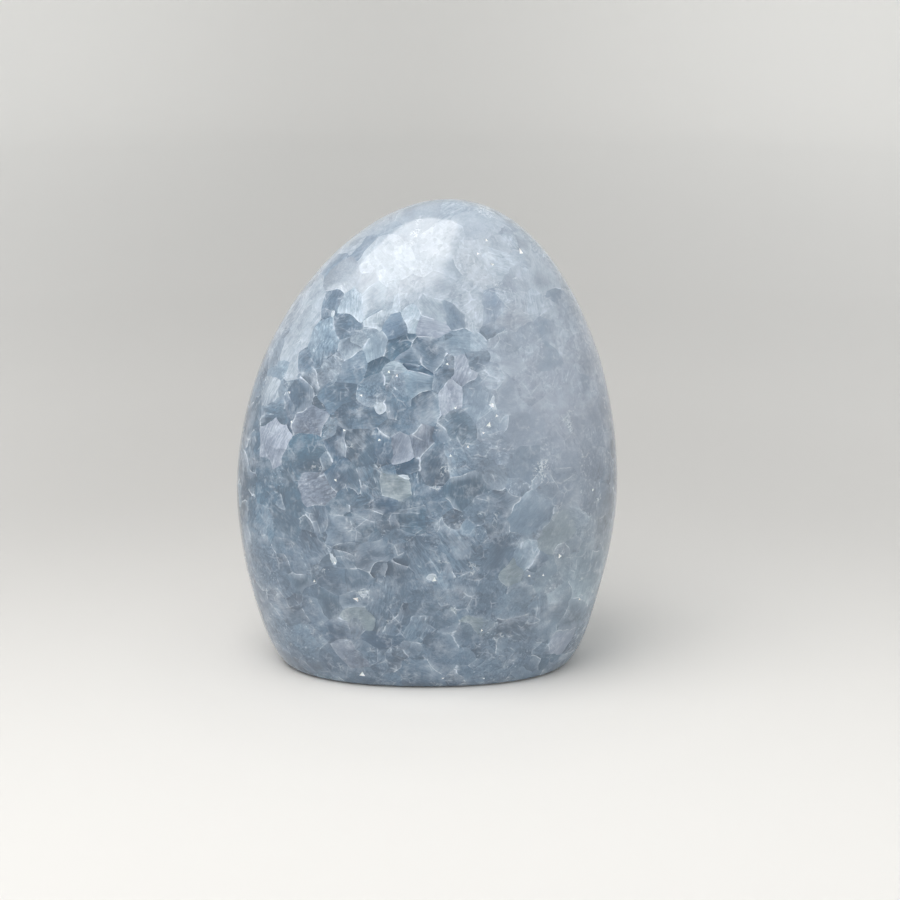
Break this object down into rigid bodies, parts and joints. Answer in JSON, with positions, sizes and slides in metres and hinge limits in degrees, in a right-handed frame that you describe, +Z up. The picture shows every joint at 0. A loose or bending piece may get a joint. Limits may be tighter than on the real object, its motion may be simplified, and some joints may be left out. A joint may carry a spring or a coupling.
{
  "type": "polished blue calcite freeform",
  "caption": "Egg-shaped freeform of milky blue calcite, hand polished all over, cut flat underneath so that it stands upright by itself.",
  "frame": {"origin": "middle of the flat base, on the surface that the stone stands on", "axes": "+Z up the height of the stone, +Y from its broad front to its back through its thickness, +X to the right of somebody who faces the front"},
  "size_m": [0.0844, 0.057, 0.104],
  "materials": {
    "calcite": "polished"
  },
  "bodies": {
    "root": {"blue_calcite_stone": "calcite"}
  },
  "joints": []
}
